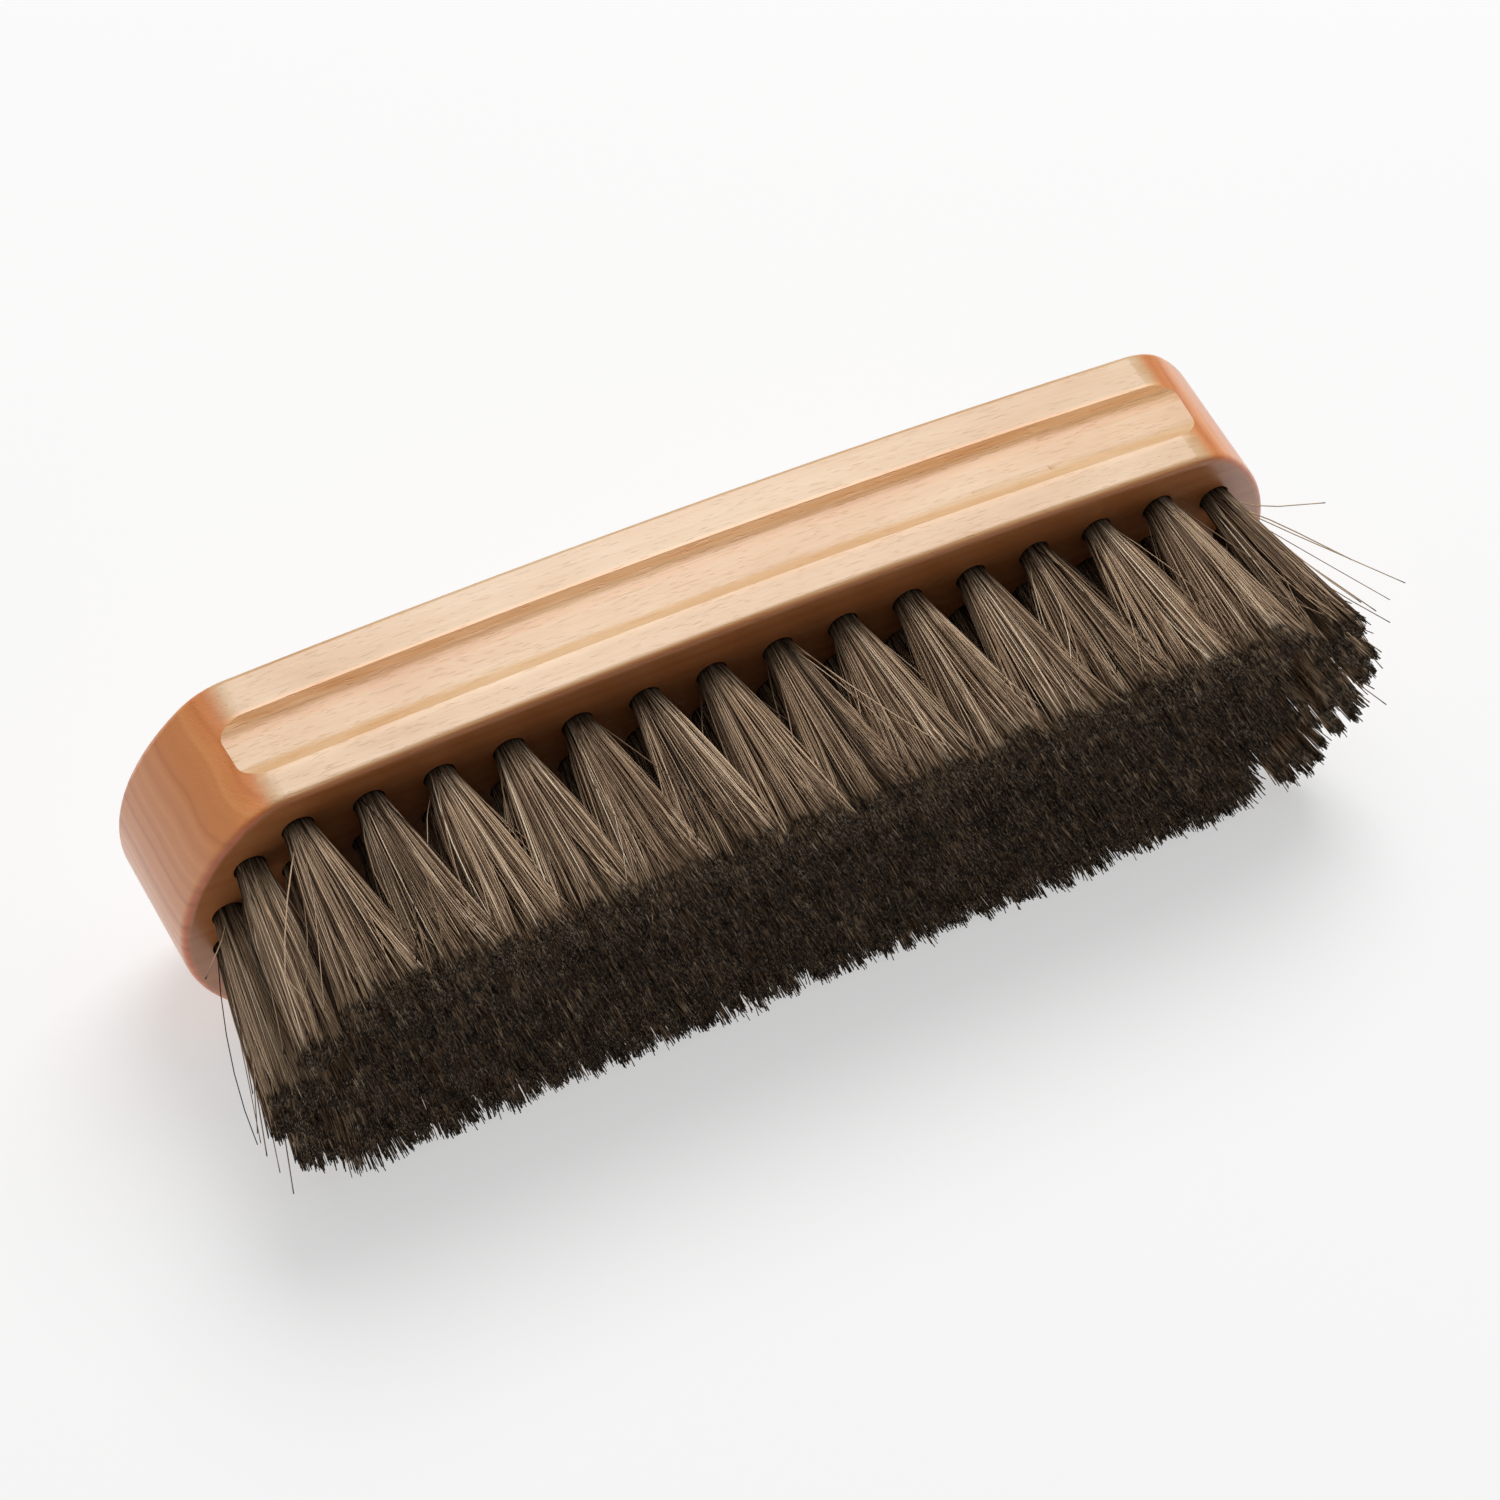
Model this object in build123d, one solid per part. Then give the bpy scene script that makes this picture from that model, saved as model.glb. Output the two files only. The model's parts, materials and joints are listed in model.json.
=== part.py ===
from build123d import *
import os
from math import asin, atan, atan2, cos, degrees, dist, hypot, sin

# A wooden block brush set with horsehair tufts, in millimetres.
# It is drawn as it is held to brush: X along the block, Y across it, bristle face at Z = 0,
# block above the face and hair below. It is then laid down on its side, as it is stored.

# Block
block_length = 168.0        # along the back, before its edge is rounded
block_width = 53.2          # the same way across the bowed sides, at mid-length
block_height = 20.9
side_bow = 2.2              # how far each long side swells between its corners
wall_lean = 0.45            # how much the walls draw in from the back to the bristle face
end_bulge = 12.1            # how far each end arc stands out past the corners
corner_radius = 10.0        # the softened corner between a side and an end, in plan
face_edge_radius = 1.2      # round the bristle face
back_edge_radius = 1.0      # round the back

# Finger groove along each long side, measured along the block's height
groove_depth = 1.0          # floor of the groove, in from the widest part of the side
rim_height = 4.2            # full-width rim, from the back
cove_height = 4.8           # the wall from the rim down to the groove's floor
rise_height = 4.8           # the slope from the floor out to the lip
lip_height = 3.2            # the lip, from the bristle face
groove_slant = 0.4          # the cutter leaves the wood at a slant, this far outside it

# Tuft holes
hole_diameter = 4.6
hole_depth = 12.0
tufts_per_row = 14          # in each row except the staggered middle one
row_end_margin = 19.0       # from the block's end to the last hole of a row
row_shift = -2.2            # the drilled rows sit a little to the left
middle_row_tip_margin = 9.55    # from the block's end to the outermost tips of the middle row
side_row_inset = 9.4        # from the widest part of a side to its row of holes
end_row_inset = 6.6         # from an end to the holes that follow its arc
# Holes along each end, as a share of the way from the middle to level with the side row
left_end_spread = (-0.68, -0.19, 0.19, 0.68)
right_end_spread = (-0.80, -0.27, 0.27, 0.80)

# Tufts
hair_length = 29.0          # that stands out of the face
end_tuft_lean = 3.0         # how far the tips at the ends splay outwards
tuft_hole_clearance = 0.1   # all round a tuft's root, and at the bottom of its hole
tuft_gap = 0.15             # half the gap that is left between two tufts' tips

# Anchors, the flat metal strips that each tuft is folded over
anchor_thickness = 0.4
anchor_height = 2.0
anchor_bite = 0.4           # how far each end is driven into the wood
anchor_lift = 1.2           # from the bottom of the hole to the anchor, for the folded hair
anchor_clearance = 0.05     # between an anchor and the hair or the wood

# Sizes that follow from the ones above
half_length = block_length / 2
half_width = block_width / 2
corner_x = half_length - end_bulge
corner_y = half_width - side_bow
end_radius = (corner_y**2 + end_bulge**2) / (2 * end_bulge)
side_radius = (corner_x**2 + side_bow**2) / (2 * side_bow)
hole_radius = hole_diameter / 2
root_radius = hole_radius - tuft_hole_clearance
row_pitch = (block_length - 2 * row_end_margin) / (tufts_per_row - 1)
side_row_y = half_width - side_row_inset
inner_row_y = side_row_y / 2
row_start = row_shift - row_pitch * (tufts_per_row - 1) / 2
middle_row_tufts = tufts_per_row + 1
middle_pitch = 2 * (half_length - middle_row_tip_margin + tuft_gap) / middle_row_tufts
middle_row_start = row_shift - middle_pitch * (middle_row_tufts - 1) / 2
tip_half_length = row_pitch / 2 - tuft_gap
middle_tip_half_length = middle_pitch / 2 - tuft_gap
tip_half_width = inner_row_y / 2 - tuft_gap
anchor_top = hole_depth - anchor_lift
anchor_length = hole_diameter + 2 * anchor_bite


def block_outline():
    """The block's plan: two bowed sides and two end arcs, with softened corners."""
    left, right = -corner_x, corner_x
    sides = [
        ThreePointArc((left, -corner_y), (0, -half_width), (right, -corner_y)),
        ThreePointArc((right, -corner_y), (half_length, 0), (right, corner_y)),
        ThreePointArc((right, corner_y), (0, half_width), (left, corner_y)),
        ThreePointArc((left, corner_y), (-half_length, 0), (left, -corner_y)),
    ]
    plan = make_face(sides)
    return fillet(plan.vertices(), corner_radius)


def groove_cutter():
    """What is cut away along one side: the side's own arc carries the groove's section."""
    clear = 3.0                     # the cutter's outside stands this far off the wood
    rim_z = block_height - rim_height
    floor_top = rim_z - cove_height
    floor_bottom = lip_height + rise_height
    rim_y = half_width + groove_slant
    floor_y = half_width - groove_depth
    lip_y = half_width - wall_lean * (1 - lip_height / block_height) + groove_slant
    down = (0, -1)
    cove = Spline((rim_y, rim_z), (floor_y, floor_top), tangents=(down, down))
    floor = Line((floor_y, floor_top), (floor_y, floor_bottom))
    rise = Spline((floor_y, floor_bottom), (lip_y, lip_height), tangents=(down, down))
    outside = Polyline(
        (lip_y, lip_height),
        (half_width + clear, lip_height),
        (half_width + clear, rim_z),
        (rim_y, rim_z),
    )
    section = Plane.YZ * make_face([cove, floor, rise, outside])
    bow_axis = Axis((0, half_width - side_radius, 0), (0, 0, 1))
    sweep = 2 * degrees(asin(half_length / side_radius))
    return revolve(section, bow_axis, sweep).rotate(bow_axis, -sweep / 2)


def row_places(row_y, count=tufts_per_row, first_x=row_start, pitch=row_pitch):
    """Hole centres of one straight row."""
    return [(first_x + pitch * i, row_y) for i in range(count)]


def end_places(side, spread):
    """Hole centres that follow one end's arc; side is 1 at the right end and -1 at the left."""
    arc_radius = end_radius - end_row_inset
    widest = asin(side_row_y / arc_radius)
    centre_x = half_length - end_radius
    return [
        (
            side * (centre_x + arc_radius * cos(widest * share)),
            arc_radius * sin(widest * share),
        )
        for share in spread
    ]


def hole_groups():
    """Every row of holes by name, in the order in which they are drilled."""
    return {
        "upper_row": row_places(-side_row_y),
        "lower_row": row_places(side_row_y),
        "upper_inner_row": row_places(-inner_row_y),
        "middle_row": row_places(0, middle_row_tufts, middle_row_start, middle_pitch),
        "lower_inner_row": row_places(inner_row_y),
        "left_end": end_places(-1, left_end_spread),
        "right_end": end_places(1, right_end_spread),
    }


def anchor(clearance=0.0):
    """One anchor across its hole, near the bottom; clearance swells it into a slot."""
    plate = Box(
        anchor_length + 2 * clearance,
        anchor_thickness + 2 * clearance,
        anchor_height + 2 * clearance,
    )
    return Pos(0, 0, anchor_top - anchor_height / 2) * plate


def tuft(lean, tip_half_sizes):
    """One tuft: the root that fills its hole, and the hair that fans out to its tips."""
    root_height = hole_depth - tuft_hole_clearance
    root = Pos(0, 0, root_height / 2) * Cylinder(root_radius, root_height)
    at_face = Circle(root_radius)
    at_tips = Pos(lean, 0, -hair_length) * Ellipse(*tip_half_sizes)
    hair = loft([at_tips, at_face])
    return root + hair - anchor(anchor_clearance)


def end_tip_radius(places):
    """How wide the tips along one end can spread before two neighbours meet."""
    closest = min(dist(here, beside) for here, beside in zip(places, places[1:]))
    return min(tip_half_width, closest / 2 - tuft_gap)


def block(places):
    """The wooden block with its rounded edges, grooves, holes and anchor slots."""
    draft = degrees(atan(wall_lean / block_height))
    back_plan = Pos(0, 0, block_height) * block_outline()
    blank = extrude(back_plan, block_height, dir=(0, 0, -1), taper=draft)
    blank = fillet(blank.faces().sort_by(Axis.Z)[0].edges(), face_edge_radius)
    blank = fillet(blank.faces().sort_by(Axis.Z)[-1].edges(), back_edge_radius)
    cutter = groove_cutter()
    hole = Pos(0, 0, hole_depth / 2) * Cylinder(hole_radius, hole_depth)
    socket = hole + anchor(anchor_clearance)
    sockets = [Pos(x, y, 0) * socket for x, y in places]
    return blank - cutter - cutter.mirror(Plane.XZ) - sockets


def placed_copies(shape, places):
    """One copy of the shape at each place, as a group of separate solids."""
    return Compound([(Pos(x, y, 0) * shape).solid() for x, y in places])


def lying_tilt():
    """How far it tips forward to lie on the bristle face's lower edge and the lower tips."""
    inward = half_width - wall_lean - face_edge_radius - (side_row_y + tip_half_width)
    outward = hair_length + face_edge_radius
    return degrees(atan2(inward, outward) + asin(face_edge_radius / hypot(inward, outward)))


def laid_down(nodes):
    """All nodes on their side, hair towards -Y, resting on Z = 0 under the origin."""
    rolled = {name: Rot(X=lying_tilt() - 90) * shape for name, shape in nodes.items()}
    box = Compound(list(rolled.values())).bounding_box()
    to_floor = Pos(-box.center().X, -box.center().Y, -box.min.Z)
    return {name: to_floor * shape for name, shape in rolled.items()}


def build():
    """Every node of the brush by name."""
    groups = hole_groups()
    nodes = {"block": block([place for row in groups.values() for place in row])}
    row_tuft = tuft(0, (tip_half_length, tip_half_width))
    middle_tuft = tuft(0, (middle_tip_half_length, tip_half_width))
    for side in ("upper", "lower"):
        for number, (x, y) in enumerate(groups[f"{side}_row"], 1):
            nodes[f"{side}_row_tuft_{number:02d}"] = Pos(x, y, 0) * row_tuft
        nodes[f"{side}_inner_row_tufts"] = placed_copies(row_tuft, groups[f"{side}_inner_row"])
    nodes["middle_row_tufts"] = placed_copies(middle_tuft, groups["middle_row"])
    for end, side in (("left_end", -1), ("right_end", 1)):
        tip_radius = end_tip_radius(groups[end])
        end_tuft = tuft(side * end_tuft_lean, (tip_radius, tip_radius))
        for number, (x, y) in enumerate(groups[end], 1):
            nodes[f"{end}_tuft_{number}"] = Pos(x, y, 0) * end_tuft
    for row, places in groups.items():
        nodes[f"{row}_anchors"] = placed_copies(anchor(), places)
    return laid_down(nodes)


os.makedirs("parts", exist_ok=True)
for name, shape in build().items():
    export_step(shape, f"parts/{name}.step")
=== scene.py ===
import json

import bpy
import numpy as np
from mathutils import Matrix, Vector


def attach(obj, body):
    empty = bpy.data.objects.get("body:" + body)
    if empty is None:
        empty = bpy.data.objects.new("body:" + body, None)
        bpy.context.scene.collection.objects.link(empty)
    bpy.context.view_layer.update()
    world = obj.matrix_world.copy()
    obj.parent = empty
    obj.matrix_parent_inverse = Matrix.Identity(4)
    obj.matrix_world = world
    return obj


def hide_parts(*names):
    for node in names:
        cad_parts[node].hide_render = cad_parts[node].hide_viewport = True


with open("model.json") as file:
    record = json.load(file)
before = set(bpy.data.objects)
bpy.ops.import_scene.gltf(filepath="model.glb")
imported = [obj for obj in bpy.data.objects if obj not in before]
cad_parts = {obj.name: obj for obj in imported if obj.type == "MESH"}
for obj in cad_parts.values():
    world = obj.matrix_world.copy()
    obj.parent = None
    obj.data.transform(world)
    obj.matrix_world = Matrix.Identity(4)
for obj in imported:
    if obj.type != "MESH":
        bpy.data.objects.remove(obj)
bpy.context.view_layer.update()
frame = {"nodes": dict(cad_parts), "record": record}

MM = 0.001

# The camera, in metres and degrees
CAMERA_PLACE = (-0.1908, -0.3388, 0.4324)
CAMERA_FORWARD = (0.3366, 0.6031, -0.7231)
CAMERA_ROLL = 1.05
CAMERA_LENS_MM = 99.04

# Hair, in millimetres in the brush's own frame
HAIR_RADIUS = 0.105
RADIUS_SPAN = (0.75, 1.2)   # thinnest and thickest hair, as shares of that
TIP_TAPER = 0.8             # of a hair's width that is left at its tip
HAIR_SIDES = 3
ROOT_DEPTH = 4.0            # how far inside its hole each hair starts
ROOT_SHARE = 0.80           # of the tuft's root radius that the hair fills there
MOUTH_SHARE = 0.92          # and at the bristle face
FLOOR_CLEARANCE = 0.1       # of the lowest hairs above the floor
CLUMP_LENGTH_SCATTER = 0.45
HAIR_LENGTH_SCATTER = 0.45
STRAY_SHARE = 0.03          # of the hairs, which bend and stand away from the rest
STRAY_REACH = (1.1, 1.8)    # how much further from the tuft's middle their tips are
STRAY_LENGTH = (-3.0, 1.2)
STRAY_BEND = 3.5
TONE = 0.47                 # mean shade, from dark at 0 to pale at 1
CLUMP_SHADE_SCATTER = 0.10
HAIR_SHADE_SCATTER = 0.21
LONG_HAIR_SHADE = 0.62
HAIR_SEED = 17

# The hair's map: along the hair on one axis, and a row for each shade of hair on the other
SHADES = 64
ROW_LOW, ROW_MIDDLE, ROW_HIGH = 0.1, 0.5, 0.9   # within a row
SIDES_END = 0.96            # the sides of the hairs come first
CUT_LOW, CUT_HIGH = 0.982, 0.996                # and then their cut ends

# How the tufts of each kind of row are filled; spread is against the CAD tuft's half sizes
UPPER_ROW_TUFT = {"count": 680, "rings": 7, "spread": (1.5, 1.25)}
# the lower and inner rows' hair is given a darker tone as painted shade, for the shaded tip face
LOWER_ROW_TUFT = dict(UPPER_ROW_TUFT, tone_and_shade=0.36)
INNER_ROW_TUFT = {"count": 480, "rings": 5, "spread": (1.3, 1.2), "tone_and_shade": 0.34}
END_TUFT = {"count": 600, "rings": 7, "spread": (1.1, 1.05), "clumps": 18, "clumping": 0.7}

# Single hairs that stand away from the rest: places they pass on their way to the tip
LONG_HAIRS = {
    "right_end_tuft_1": (
        ((78.0, -15.0, -4.9), (85.1, -17.0, -8.9)),
        ((78.7, -16.6, -12.3), (87.0, -18.0, -26.1)),
        ((78.0, -15.6, -13.0), (85.3, -15.0, -26.0)),
        ((77.4, -14.0, -12.0), (84.3, -12.0, -25.2)),
        ((78.6, -14.6, -8.0), (84.6, -14.4, -17.5)),
    ),
    "left_end_tuft_2": (
        ((-80.5, -8.0, -5.9), (-84.9, -8.0, -10.6)),
    ),
    "upper_row_tuft_01": (
        ((-73.0, -20.0, -9.7), (-78.8, -20.0, -21.0), (-77.2, -19.6, -27.0)),
        ((-70.5, -20.4, -12.0), (-76.6, -21.0, -28.6)),
    ),
    "left_end_tuft_3": (
        ((-81.0, 4.0, -15.0), (-85.4, 5.0, -30.6)),
        ((-80.2, 6.0, -15.0), (-84.0, 9.0, -31.4)),
    ),
    "left_end_tuft_4": (
        ((-77.6, 15.0, -16.0), (-82.2, 15.5, -31.6)),
    ),
}

# Wood, in millimetres in the brush's own frame
PITH_Y, PITH_Z = -115.0, 14.0   # the middle of the growth rings
GROOVE_PAINTED_LIGHT_AND_SHADE = (                # between two heights over the bristle face, painted light and shade as a tint
    # painted shade: the whole groove deeper and redder
    ((7.0, 15.4), (1.00, 0.94, 0.84)),
    # painted light: the groove's steep upper wall lightened
    ((13.2, 15.3), (1.26, 1.15, 1.06)),
    # painted shade: the groove's lower wall deeper and redder
    ((10.9, 13.6), (1.00, 0.88, 0.74)),
    # painted sheen: the rise below the groove lightened
    ((4.0, 7.4), (1.14, 1.14, 1.14)),
)
END_CENTRE = 53.35          # of each end's arc, from mid-length
DRILLED_RADIUS = 27.4       # round those centres, and
DRILLED_HALF_WIDTH = 20.8   # across the block, all that is inside is a hole
DRILLED_FROM = (0.15, 1.0)  # above the face, where a hole's wall darkens with raw wood and painted shade
DRILLED_DEPTH = 12.6
# painted shade: the bristle face lies in shade, so its colour is darkened and made more orange
BRISTLE_FACE_PAINTED_SHADE = (0.80, 0.47, 0.29)
# raw, unlacquered wood inside the holes, darkened much further as painted shade
HOLE_RAW_WOOD_AND_SHADE = (0.20, 0.13, 0.08)

# The studio, in metres
FLOOR_HALF_WIDTH = 3.0
FLOOR_GREY = 0.46
FLOOR_GLOW = 0.53           # keeps the brush's shadow pale
WORLD_LIGHT = 0.12


# ---------------------------------------------------------------- the brush's own frame

def brush_frame():
    """Origin in the middle of the bristle face, and three axes as rows: along the block,
    across it, and from the bristle face to the back."""
    along = np.array((1.0, 0.0, 0.0))
    to_back = np.array(frame["record"]["mounts"][0]["axis"])
    across = np.cross(to_back, along)
    axes = np.stack((along, across, to_back))
    block = vertices_of("block") @ axes.T
    low, high = block.min(0), block.max(0)
    origin = np.array(((low[0] + high[0]) / 2, (low[1] + high[1]) / 2, low[2])) @ axes
    return origin, axes


def vertices_of(node):
    mesh = frame["nodes"][node].data
    found = np.empty(len(mesh.vertices) * 3)
    mesh.vertices.foreach_get("co", found)
    return found.reshape(-1, 3)


def in_brush(points):
    """Row frame in metres to the brush's frame in millimetres."""
    return (points - ORIGIN) @ AXES.T / MM


def in_row(points):
    """The brush's frame in millimetres to the row frame in metres."""
    return ORIGIN + points * MM @ AXES


ORIGIN, AXES = brush_frame()


# ---------------------------------------------------------------- where the tufts are

def tuft_of(points):
    """Root centre, root radius, tip centre and tip half sizes of one CAD tuft."""
    root = points[points[:, 2] > 1.0]
    tips = points[points[:, 2] < points[:, 2].min() + 0.5]
    root_low, root_high = root.min(0), root.max(0)
    tip_low, tip_high = tips.min(0), tips.max(0)
    return {
        "root": (root_low + root_high)[:2] / 2,
        "radius": (root_high - root_low)[0] / 2,
        "tip": (tip_low + tip_high)[:2] / 2,
        "spread": (tip_high - tip_low)[:2] / 2,
        "length": -tip_low[2],
    }


def tufts_of(node, pattern):
    """Every tuft of a row's node, with the flare of the tuft given as a pattern."""
    points = in_brush(vertices_of(node))
    root_x = np.sort(points[points[:, 2] > 1.0][:, 0])
    starts = np.concatenate(([0], np.nonzero(np.diff(root_x) > 1.0)[0] + 1, [len(root_x)]))
    y = (points[:, 1].min() + points[:, 1].max()) / 2
    found = []
    for first, past in zip(starts, starts[1:]):
        centre = np.array(((root_x[first] + root_x[past - 1]) / 2, y))
        found.append(dict(pattern, root=centre, tip=centre))
    return found


# ---------------------------------------------------------------- hair

def in_disc(rng, count):
    """Places spread evenly over a disc of radius 1."""
    angle = rng.uniform(0, 2 * np.pi, count)
    out = np.sqrt(rng.uniform(0, 1, count))
    return np.stack((np.cos(angle), np.sin(angle)), 1) * out[:, None]


def hair_lines(rng, tuft, count, rings, spread, clumps=40, clumping=0.5, tone_and_shade=TONE):
    """Centre lines of one tuft's hairs, as (hair, ring, xyz), and each hair's shade, 0 to 1."""
    disc = in_disc(rng, count)

    # The cut tips gather into many small clumps, each a little longer or shorter
    clump_at = in_disc(rng, clumps)
    own = ((disc[:, None] - clump_at[None]) ** 2).sum(2).argmin(1)
    clump_shade = rng.normal(0, CLUMP_SHADE_SCATTER, clumps)
    clump_length = rng.normal(0, CLUMP_LENGTH_SCATTER, clumps)

    noise = rng.normal(0, 0.05, (count, 2))
    tip_disc = disc * (1 - clumping) + clump_at[own] * clumping + noise
    stray = rng.random(count) < STRAY_SHARE
    tip_disc[stray] *= rng.uniform(*STRAY_REACH, (stray.sum(), 1))
    tip_disc[stray] += rng.normal(0, 0.2, (stray.sum(), 2))

    mouth = tuft["root"] + disc * tuft["radius"] * MOUTH_SHARE
    tip = tuft["tip"] + tip_disc * tuft["spread"] * spread
    length = tuft["length"] + clump_length[own] + rng.normal(0, HAIR_LENGTH_SCATTER, count)
    length[stray] += rng.uniform(*STRAY_LENGTH, stray.sum())

    # From the face to the tip: mostly straight, with a bow in the middle and a curl at the tip
    t = np.linspace(0, 1, rings - 1)
    flare = 0.86 * t + 0.14 * t**2
    bow = 4 * t * (1 - t)
    bend = rng.normal(0, 0.4, (count, 2))
    bend[stray] *= STRAY_BEND
    curl = rng.normal(0, 0.25, (count, 2))
    lines = np.empty((count, rings, 3))
    lines[:, 0, :2] = tuft["root"] + disc * tuft["radius"] * ROOT_SHARE
    lines[:, 0, 2] = ROOT_DEPTH
    lines[:, 1:, :2] = (
        mouth[:, None]
        + (tip - mouth)[:, None] * flare[None, :, None]
        + bend[:, None] * bow[None, :, None]
        + curl[:, None] * (t**3)[None, :, None]
    )
    lines[:, 1:, 2] = -length[:, None] * t[None]
    own_shade = rng.normal(0, HAIR_SHADE_SCATTER, count)
    # the mean tone, lowered for the lower and inner rows as painted shade
    shade = np.clip(tone_and_shade + clump_shade[own] + own_shade, 0, 0.999)
    return lines, shade


def long_hairs(tuft, courses, rings):
    """Centre lines of the single hairs that leave a tuft by the given places."""
    made = []
    for course in courses:
        root = np.append(tuft["root"], ROOT_DEPTH)
        stops = np.array((root, np.append(tuft["root"], 0.0), *course))
        gone = np.concatenate(([0], np.cumsum(np.linalg.norm(np.diff(stops, axis=0), axis=1))))
        at = np.linspace(0, gone[-1], rings)
        made.append(np.stack([np.interp(at, gone, stops[:, axis]) for axis in range(3)], 1))
    return np.array(made)


def on_floor(lines):
    """The lines in the row frame, with whatever would pass through the floor laid on it."""
    placed = in_row(lines)
    placed[..., 2] = np.maximum(placed[..., 2], FLOOR_CLEARANCE * MM)
    return placed


def tube_points(lines, rng):
    """A ring of corners round every point of every line, as (hair, ring, corner, xyz)."""
    count, rings, _ = lines.shape
    ahead = np.gradient(lines, axis=1)
    ahead /= np.linalg.norm(ahead, axis=2, keepdims=True)
    side = np.cross(ahead, np.array((0.31, 0.83, 0.46)))    # a direction no hair takes
    side /= np.linalg.norm(side, axis=2, keepdims=True)
    other = np.cross(ahead, side)
    corners = np.arange(HAIR_SIDES) * 2 * np.pi / HAIR_SIDES
    turn = rng.uniform(0, 2 * np.pi, count)[:, None] + corners
    radius = HAIR_RADIUS * MM * rng.uniform(*RADIUS_SPAN, count)[:, None, None, None]
    taper = np.linspace(1.0, TIP_TAPER, rings)[None, :, None, None]
    around = (
        side[:, :, None] * np.cos(turn)[:, None, :, None]
        + other[:, :, None] * np.sin(turn)[:, None, :, None]
    )
    return lines[:, :, None] + around * radius * taper


def tube_faces(count, rings):
    """Corner numbers of the tubes' four-sided faces, and of the caps on their tips."""
    first = np.arange(count)[:, None, None] * rings * HAIR_SIDES
    near = first + np.arange(rings - 1)[None, :, None] * HAIR_SIDES
    far = near + HAIR_SIDES
    corner = np.arange(HAIR_SIDES)[None, None, :]
    after = (corner + 1) % HAIR_SIDES
    quads = np.stack((near + corner, near + after, far + after, far + corner), -1)
    caps = first[:, 0] + (rings - 1) * HAIR_SIDES + np.arange(HAIR_SIDES)[None]
    return quads.reshape(-1, 4), caps


def tube_map(shade, rings):
    """Where each corner of each face lies on the hair's map, in the order of tube_faces."""
    count = len(shade)
    row = np.floor(shade * SHADES)[:, None, None]
    step = SIDES_END / (rings - 1)
    near = np.arange(rings - 1)[None, :, None] * step
    near = np.broadcast_to(near, (count, rings - 1, HAIR_SIDES))
    far = near + step
    low = np.broadcast_to((row + ROW_LOW) / SHADES, near.shape)
    high = np.broadcast_to((row + ROW_HIGH) / SHADES, near.shape)
    corners = ((near, low), (near, high), (far, high), (far, low))
    quads = np.stack([np.stack(corner, -1) for corner in corners], -2)
    caps = np.empty((count, HAIR_SIDES, 2))
    caps[..., 0] = (CUT_LOW, CUT_LOW, CUT_HIGH)
    caps[..., 1] = (row[:, 0] + (ROW_LOW, ROW_HIGH, ROW_MIDDLE)) / SHADES
    return np.concatenate((quads.reshape(-1, 2), caps.reshape(-1, 2)))


def hair_mesh(name, lines, shade, rng):
    """One object of thin tubes round the lines."""
    lines = on_floor(lines)
    count, rings, _ = lines.shape
    points = tube_points(lines, rng)
    quads, caps = tube_faces(count, rings)
    mesh = bpy.data.meshes.new(name)
    mesh.vertices.add(count * rings * HAIR_SIDES)
    mesh.vertices.foreach_set("co", points.astype(np.float32).ravel())
    loops = np.concatenate((quads.ravel(), caps.ravel()))
    mesh.loops.add(len(loops))
    mesh.loops.foreach_set("vertex_index", loops.astype(np.int32))
    mesh.polygons.add(len(quads) + len(caps))
    quad_starts = np.arange(len(quads)) * 4
    cap_starts = len(quads) * 4 + np.arange(len(caps)) * HAIR_SIDES
    starts = np.concatenate((quad_starts, cap_starts))
    mesh.polygons.foreach_set("loop_start", starts.astype(np.int32))
    mesh.polygons.foreach_set("use_smooth", np.ones(len(starts), bool))
    layer = mesh.uv_layers.new(name="OFBake")
    layer.uv.foreach_set("vector", tube_map(shade, rings).astype(np.float32).ravel())
    mesh.update()
    mesh.validate()
    piece = bpy.data.objects.new(name, mesh)
    bpy.context.scene.collection.objects.link(piece)
    return piece


# ---------------------------------------------------------------- materials

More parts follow.
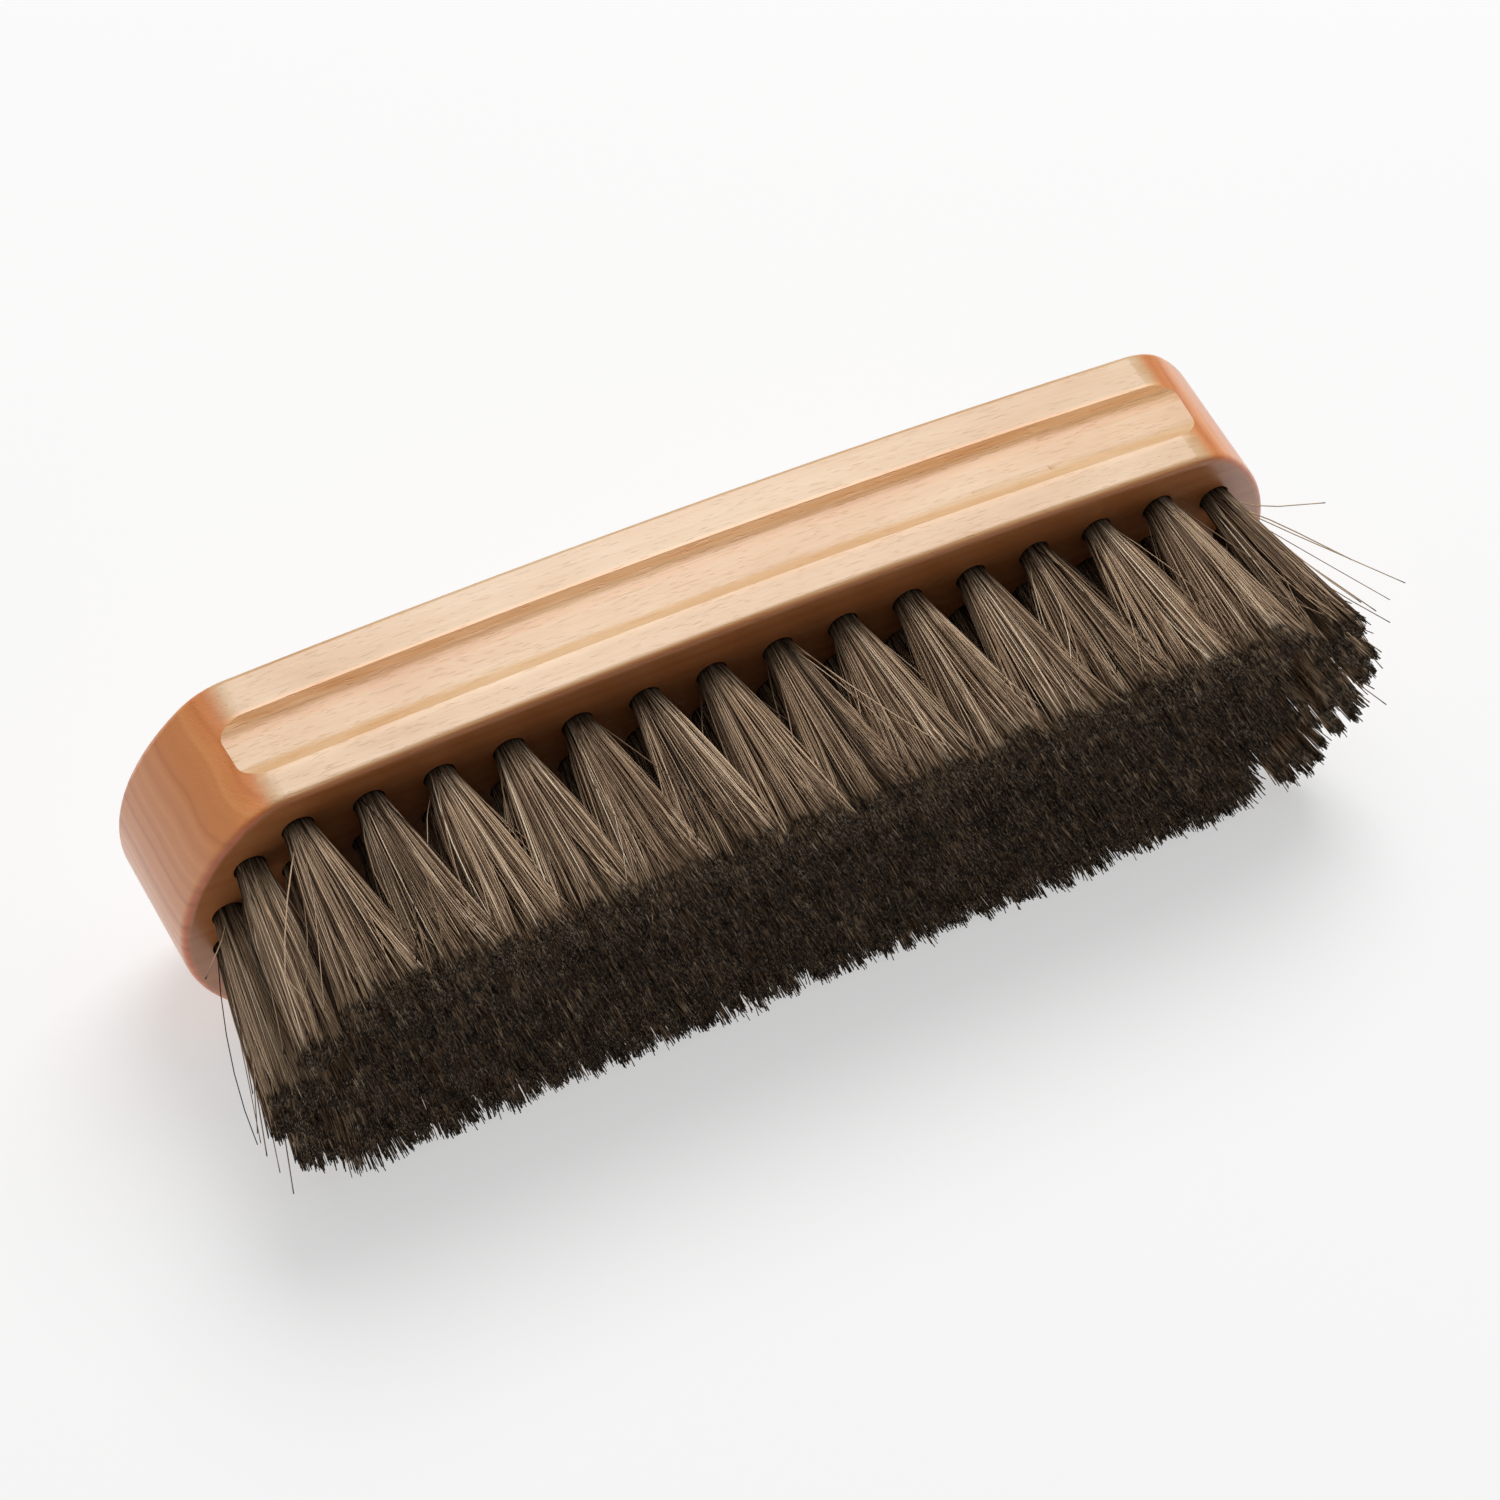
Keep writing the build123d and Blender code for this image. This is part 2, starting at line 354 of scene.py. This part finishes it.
class Graph:
    """The node graph of one new material, with a short call for each kind of node."""

    def __init__(self, name):
        self.material = bpy.data.materials.new(name)
        self.material.use_nodes = True
        self.nodes = self.material.node_tree.nodes
        self.links = self.material.node_tree.links
        self.shader = self.nodes["Principled BSDF"]

    def feed(self, socket, value):
        """Links a socket, or sets a number, a vector or a colour, as the value asks."""
        if isinstance(value, bpy.types.NodeSocket):
            self.links.new(value, socket)
        elif socket.type == "RGBA" and not isinstance(value, float):
            socket.default_value = (*value, 1.0)
        elif socket.type == "RGBA":
            socket.default_value = (value, value, value, 1.0)
        else:
            socket.default_value = value

    def math(self, kind, first, second=0.0, third=0.0):
        node = self.nodes.new("ShaderNodeMath")
        node.operation = kind
        for socket, value in zip(node.inputs, (first, second, third)):
            self.feed(socket, value)
        return node.outputs[0]

    def vector(self, kind, first, second=(0.0, 0.0, 0.0)):
        node = self.nodes.new("ShaderNodeVectorMath")
        node.operation = kind
        self.feed(node.inputs[0], first)
        self.feed(node.inputs[1], second)
        return node.outputs["Value" if kind in ("DOT_PRODUCT", "LENGTH") else "Vector"]

    def combine(self, x, y, z):
        node = self.nodes.new("ShaderNodeCombineXYZ")
        for socket, value in zip(node.inputs, (x, y, z)):
            self.feed(socket, value)
        return node.outputs[0]

    def noise(self, where, scale, detail, roughness):
        """Smooth noise from 0 to 1, in space or, for a single number, along a line."""
        node = self.nodes.new("ShaderNodeTexNoise")
        along_line = where.type == "VALUE"
        node.noise_dimensions = "1D" if along_line else "3D"
        self.feed(node.inputs["W" if along_line else "Vector"], where)
        node.inputs["Scale"].default_value = scale
        node.inputs["Detail"].default_value = detail
        node.inputs["Roughness"].default_value = roughness
        return node.outputs[0]

    def cells(self, where):
        """Distance to the nearest of many scattered points."""
        node = self.nodes.new("ShaderNodeTexVoronoi")
        self.feed(node.inputs["Vector"], where)
        node.inputs["Scale"].default_value = 1.0
        return node.outputs["Distance"]

    def span(self, value, low, high, out_low=0.0, out_high=1.0):
        """A value between low and high eased over a new range, and clamped to it."""
        node = self.nodes.new("ShaderNodeMapRange")
        node.interpolation_type = "SMOOTHSTEP"
        for socket, number in zip(node.inputs, (value, low, high, out_low, out_high)):
            self.feed(socket, number)
        return node.outputs[0]

    def band(self, value, low, high):
        """One between low and high, fading to zero within a quarter of the way at each."""
        fade = (high - low) / 4
        rise = self.span(value, low, low + fade)
        return self.math("MULTIPLY", rise, self.span(value, high - fade, high, 1.0, 0.0))

    def ramp(self, value, stops):
        """Colours along a value from (position, colour) pairs; a colour may be one grey."""
        node = self.nodes.new("ShaderNodeValToRGB")
        elements = node.color_ramp.elements
        while len(elements) < len(stops):
            elements.new(0.5)
        for element, (position, colour) in zip(elements, stops):
            element.position = position
            rgb = (colour,) * 3 if isinstance(colour, float) else colour
            element.color = (*rgb, 1.0)
        self.feed(node.inputs["Fac"], value)
        return node.outputs["Color"]

    def mix(self, kind, factor, first, second):
        """A blend of two colours."""
        node = self.nodes.new("ShaderNodeMix")
        node.data_type = "RGBA"
        node.blend_type = kind
        open_sockets = [socket for socket in node.inputs if socket.enabled]
        for socket, value in zip(open_sockets, (factor, first, second)):
            self.feed(socket, value)
        return [socket for socket in node.outputs if socket.enabled][0]

    def bump(self, height, distance, strength=1.0):
        """Raises the surface by the height, which spans the distance in metres."""
        node = self.nodes.new("ShaderNodeBump")
        node.inputs["Strength"].default_value = strength
        node.inputs["Distance"].default_value = distance
        self.feed(node.inputs["Height"], height)
        self.feed(self.shader.inputs["Normal"], node.outputs[0])

    def brush_place(self):
        """Where a point is in the brush's own frame, in millimetres."""
        found = self.nodes.new("ShaderNodeTexCoord").outputs["Object"]
        moved = self.vector("SUBTRACT", found, tuple(ORIGIN))
        parts = [self.vector("DOT_PRODUCT", moved, tuple(axis / MM)) for axis in AXES]
        return parts


def hair_material():
    """Brown horsehair, with painted shade: dark at the root inside its hole, pale along its
    length, dark just short of the cut end and dimmed on the cut ends, where the tip face lies in
    shade.
    """
    graph = Graph("horsehair")
    where = graph.nodes.new("ShaderNodeUVMap")
    where.uv_map = "OFBake"
    split = graph.nodes.new("ShaderNodeSeparateXYZ")
    graph.feed(split.inputs[0], where.outputs["UV"])
    along, shade = split.outputs["X"], split.outputs["Y"]
    shades = graph.ramp(shade, [
        (0.0, (0.055, 0.034, 0.020)),
        (0.3, (0.240, 0.150, 0.088)),
        (0.55, (0.500, 0.345, 0.218)),
        (0.8, (0.750, 0.560, 0.385)),
        (1.0, (0.95, 0.80, 0.60)),
    ])
    # painted shade along each hair: dark inside the hole and at the mouth, dark just before the
    # cut and dimmed on the cut ends
    painted_shade_along = graph.ramp(along, [
        (0.0, 0.06),
        (0.155, 0.18),
        (0.22, 0.55),
        (0.34, 1.0),
        (0.925, 1.0),
        (0.950, 0.05),
        (0.972, 0.62),
    ])
    graph.feed(graph.shader.inputs["Base Color"], graph.mix("MULTIPLY", 1.0, shades, painted_shade_along))
    graph.feed(graph.shader.inputs["Roughness"], graph.span(shade, 0.0, 1.0, 0.42, 0.6))
    graph.shader.inputs["Specular IOR Level"].default_value = 0.2
    return graph.material


def ring_distance(graph, x, y, z):
    """How far a point is from the pith, which is far off to one side of the block."""
    slow_x = graph.math("MULTIPLY", x, 0.25)
    wander = graph.noise(graph.combine(slow_x, y, z), 0.035, 2.0, 0.55)
    off_y = graph.math("SUBTRACT", y, PITH_Y)
    off_z = graph.math("SUBTRACT", z, PITH_Z)
    straight = graph.vector("LENGTH", graph.combine(0.0, off_y, off_z))
    return graph.math("MULTIPLY_ADD", wander, 7.0, straight)


def side_wood(graph, place, z, rings, fibres, flecks):
    """Wood cut along its grain: broad figure, fine fibres, ray flecks and the groove's painted
    light and shade.
    """
    streaks = graph.noise(graph.vector("MULTIPLY", place, (0.016, 0.55, 0.55)), 1.0, 3.0, 0.55)
    clouds = graph.noise(place, 0.045, 3.0, 0.5)
    figure = graph.math("MULTIPLY_ADD", rings, 0.50, graph.math("MULTIPLY", streaks, 0.35))
    figure = graph.math("MULTIPLY_ADD", clouds, 0.15, figure)
    wood = graph.ramp(figure, [
        (0.30, (0.650, 0.345, 0.140)),
        (0.44, (0.710, 0.422, 0.203)),
        (0.56, (0.742, 0.470, 0.248)),
        (0.70, (0.785, 0.540, 0.315)),
    ])
    fibre_share = graph.span(fibres, 0.45, 0.75, 0.0, 0.30)
    wood = graph.mix("MULTIPLY", fibre_share, wood, (0.90, 0.76, 0.62))
    wood = graph.mix("MULTIPLY", graph.math("MULTIPLY", flecks, 0.25), wood, (0.84, 0.62, 0.42))
    # painted light and shade over the groove, one band of heights at a time
    for (low, high), light_and_shade in GROOVE_PAINTED_LIGHT_AND_SHADE:
        painted_wood = graph.vector("MULTIPLY", wood, light_and_shade)
        wood = graph.mix("MIX", graph.band(z, low, high), wood, painted_wood)
    return wood


def end_wood(graph, place, ring_place, rings):
    """Wood cut across its grain: the edges of the rings as lines, and open pores."""
    ring_lines = graph.noise(ring_place, 0.55, 1.0, 0.5)
    spots = graph.cells(graph.vector("MULTIPLY", place, (0.12, 3.2, 3.2)))
    pores = graph.span(spots, 0.05, 0.28, 1.0, 0.0)
    figure = graph.math("MULTIPLY_ADD", ring_lines, 0.6, graph.math("MULTIPLY", rings, 0.4))
    wood = graph.ramp(figure, [
        (0.36, (0.70, 0.222, 0.060)),
        (0.45, (0.83, 0.292, 0.088)),
        (0.58, (0.89, 0.335, 0.106)),
        (0.68, (0.93, 0.395, 0.140)),
    ])
    return graph.mix("MULTIPLY", graph.math("MULTIPLY", pores, 0.25), wood, (0.72, 0.55, 0.42))


def drilled_places(graph, x, y, z):
    """One inside the tuft holes, and zero on the block's outer faces."""
    past_centre = graph.math("SUBTRACT", graph.math("ABSOLUTE", x), END_CENTRE)
    off_middle = graph.math("MAXIMUM", past_centre, 0.0)
    from_end_centre = graph.vector("LENGTH", graph.combine(off_middle, y, 0.0))
    near_middle = graph.math("LESS_THAN", graph.math("ABSOLUTE", y), DRILLED_HALF_WIDTH)
    drilled = graph.math("LESS_THAN", from_end_centre, DRILLED_RADIUS)
    drilled = graph.math("MULTIPLY", drilled, near_middle)
    drilled = graph.math("MULTIPLY", drilled, graph.span(z, *DRILLED_FROM))
    return graph.math("MULTIPLY", drilled, graph.math("LESS_THAN", z, DRILLED_DEPTH))


def wood_material():
    """Lacquered beech: the grain runs along the block, and both ends show end grain."""
    graph = Graph("lacquered_beech")
    x, y, z = graph.brush_place()
    place = graph.combine(x, y, z)
    ring_place = ring_distance(graph, x, y, z)
    rings = graph.noise(ring_place, 0.42, 2.5, 0.6)
    fibres = graph.noise(graph.vector("MULTIPLY", place, (0.045, 2.6, 2.6)), 1.0, 4.0, 0.6)
    fleck_noise = graph.noise(graph.vector("MULTIPLY", place, (0.42, 3.4, 3.4)), 1.0, 1.0, 0.5)
    flecks = graph.span(fleck_noise, 0.62, 0.72)

    normal = graph.nodes.new("ShaderNodeNewGeometry").outputs["Normal"]
    facing_end = graph.math("ABSOLUTE", graph.vector("DOT_PRODUCT", normal, (1.0, 0.0, 0.0)))
    end_grain = graph.span(facing_end, 0.15, 0.40)
    bristle_face_shade = graph.span(graph.vector("DOT_PRODUCT", normal, tuple(-AXES[2])), 0.25, 0.85)
    drilled = drilled_places(graph, x, y, z)

    side = side_wood(graph, place, z, rings, fibres, flecks)
    end = end_wood(graph, place, ring_place, rings)
    colour = graph.mix("MIX", end_grain, side, end)
    # painted shade on the bristle face
    colour = graph.mix("MULTIPLY", bristle_face_shade, colour, BRISTLE_FACE_PAINTED_SHADE)
    # the hole walls: darker raw wood, deepened with painted shade
    colour = graph.mix("MULTIPLY", drilled, colour, HOLE_RAW_WOOD_AND_SHADE)
    graph.feed(graph.shader.inputs["Base Color"], colour)

    # The lacquer is satin, thinner over the end grain, and rubbed a little unevenly
    rubbed = graph.noise(place, 0.11, 4.0, 0.65)
    satin = graph.math("MULTIPLY_ADD", rubbed, 0.14, 0.27)
    satin = graph.math("MULTIPLY_ADD", fibres, 0.10, satin)
    satin = graph.math("MULTIPLY_ADD", end_grain, 0.10, satin)
    satin = graph.math("MULTIPLY_ADD", drilled, 0.30, satin)
    graph.feed(graph.shader.inputs["Roughness"], satin)
    graph.shader.inputs["Coat Weight"].default_value = 0.7
    graph.shader.inputs["Coat Roughness"].default_value = 0.25
    height = graph.math("MULTIPLY_ADD", flecks, -0.5, fibres)
    height = graph.math("MULTIPLY_ADD", rubbed, 0.8, height)
    graph.bump(height, 0.00009, 0.7)
    return graph.material


def steel_material():
    """Rolled strip: fine lines along the anchor, and faint stains."""
    graph = Graph("anchor_steel")
    x, y, z = graph.brush_place()
    place = graph.combine(x, y, z)
    lines = graph.noise(graph.vector("MULTIPLY", place, (0.3, 9.0, 9.0)), 1.0, 3.0, 0.6)
    stains = graph.noise(place, 0.9, 4.0, 0.6)
    colour = graph.ramp(stains, [
        (0.30, (0.30, 0.27, 0.24)), (0.5, (0.50, 0.49, 0.48)), (0.7, (0.62, 0.62, 0.62)),
    ])
    graph.feed(graph.shader.inputs["Base Color"], colour)
    graph.shader.inputs["Metallic"].default_value = 1.0
    graph.feed(graph.shader.inputs["Roughness"], graph.span(lines, 0.3, 0.7, 0.28, 0.5))
    graph.bump(lines, 0.00002)
    return graph.material


def floor_material():
    """Matt pale grey paper that glows a little."""
    graph = Graph("studio_floor")
    graph.feed(graph.shader.inputs["Base Color"], FLOOR_GREY)
    graph.shader.inputs["Roughness"].default_value = 0.9
    graph.shader.inputs["Specular IOR Level"].default_value = 0.1
    graph.feed(graph.shader.inputs["Emission Color"], 1.0)
    graph.shader.inputs["Emission Strength"].default_value = FLOOR_GLOW
    return graph.material


# ---------------------------------------------------------------- studio

def add_camera():
    data = bpy.data.cameras.new("camera")
    data.lens = CAMERA_LENS_MM
    data.sensor_width = 36.0
    camera = bpy.data.objects.new("camera", data)
    camera.location = CAMERA_PLACE
    facing = Vector(CAMERA_FORWARD).to_track_quat("-Z", "Y").to_matrix()
    camera.rotation_euler = (facing @ Matrix.Rotation(np.radians(CAMERA_ROLL), 3, "Z")).to_euler()
    bpy.context.scene.collection.objects.link(camera)
    bpy.context.scene.camera = camera


def add_area_light(name, place, target, size, power):
    """A round lamp, in metres and watts."""
    data = bpy.data.lights.new(name, "AREA")
    data.shape = "DISK"
    data.size = size
    data.energy = power
    light = bpy.data.objects.new(name, data)
    light.location = place
    light.rotation_euler = (Vector(target) - Vector(place)).to_track_quat("-Z", "Y").to_euler()
    bpy.context.scene.collection.objects.link(light)


def add_studio():
    """A pale floor, a faint even light, a lamp behind on the right and one overhead."""
    half = FLOOR_HALF_WIDTH
    mesh = bpy.data.meshes.new("floor")
    corners = [(-half, -half, 0), (half, -half, 0), (half, half, 0), (-half, half, 0)]
    mesh.from_pydata(corners, [], [(0, 1, 2, 3)])
    floor = bpy.data.objects.new("floor", mesh)
    bpy.context.scene.collection.objects.link(floor)
    floor.data.materials.append(floor_material())
    world = bpy.data.worlds.new("studio")
    world.use_nodes = True
    background = world.node_tree.nodes["Background"]
    background.inputs["Color"].default_value = (1.0, 1.0, 1.0, 1.0)
    background.inputs["Strength"].default_value = WORLD_LIGHT
    bpy.context.scene.world = world
    add_area_light("key", (0.62, 0.76, 1.74), (0, 0, 0), 1.5, 25.0)
    add_area_light("overhead", (0.0, 0.35, 2.4), (0, 0, 0), 3.0, 22.0)
    bpy.context.scene.view_settings.view_transform = "Standard"


# ---------------------------------------------------------------- making

def dress(node, material):
    """Gives a CAD node its material."""
    materials = frame["nodes"][node].data.materials
    materials.clear()
    materials.append(material)


def add_hair(node, tufts, material, rng, count, rings, **style):
    """The hair that stands for one CAD node of tufts."""
    made = [hair_lines(rng, tuft, count, rings, **style) for tuft in tufts]
    lines = [line for line, _ in made]
    shade = [s for _, s in made]
    if node in LONG_HAIRS:
        lines.append(long_hairs(tufts[0], LONG_HAIRS[node], rings))
        shade.append(np.full(len(LONG_HAIRS[node]), LONG_HAIR_SHADE))
    piece = hair_mesh(f"{node}_hair", np.concatenate(lines), np.concatenate(shade), rng)
    piece.data.materials.append(material)
    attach(piece, "root")
    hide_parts(node)


def main():
    add_camera()
    add_studio()
    rng = np.random.default_rng(HAIR_SEED)
    wood, steel, hair = wood_material(), steel_material(), hair_material()
    dress("block", wood)
    for node in frame["nodes"]:
        if node.endswith("_anchors"):
            dress(node, steel)
    pattern = tuft_of(in_brush(vertices_of("upper_row_tuft_01")))
    many = 1.0
    for node in sorted(frame["nodes"]):
        if "end_tuft_" in node:
            tufts = [tuft_of(in_brush(vertices_of(node)))]
            style = END_TUFT
        elif "_tuft_" in node:
            tufts = [tuft_of(in_brush(vertices_of(node)))]
            style = UPPER_ROW_TUFT if node.startswith("upper") else LOWER_ROW_TUFT
        elif node.endswith("_tufts"):
            tufts = tufts_of(node, pattern)
            style = INNER_ROW_TUFT
        else:
            continue
        add_hair(node, tufts, hair, rng, **dict(style, count=int(style["count"] * many)))


main()
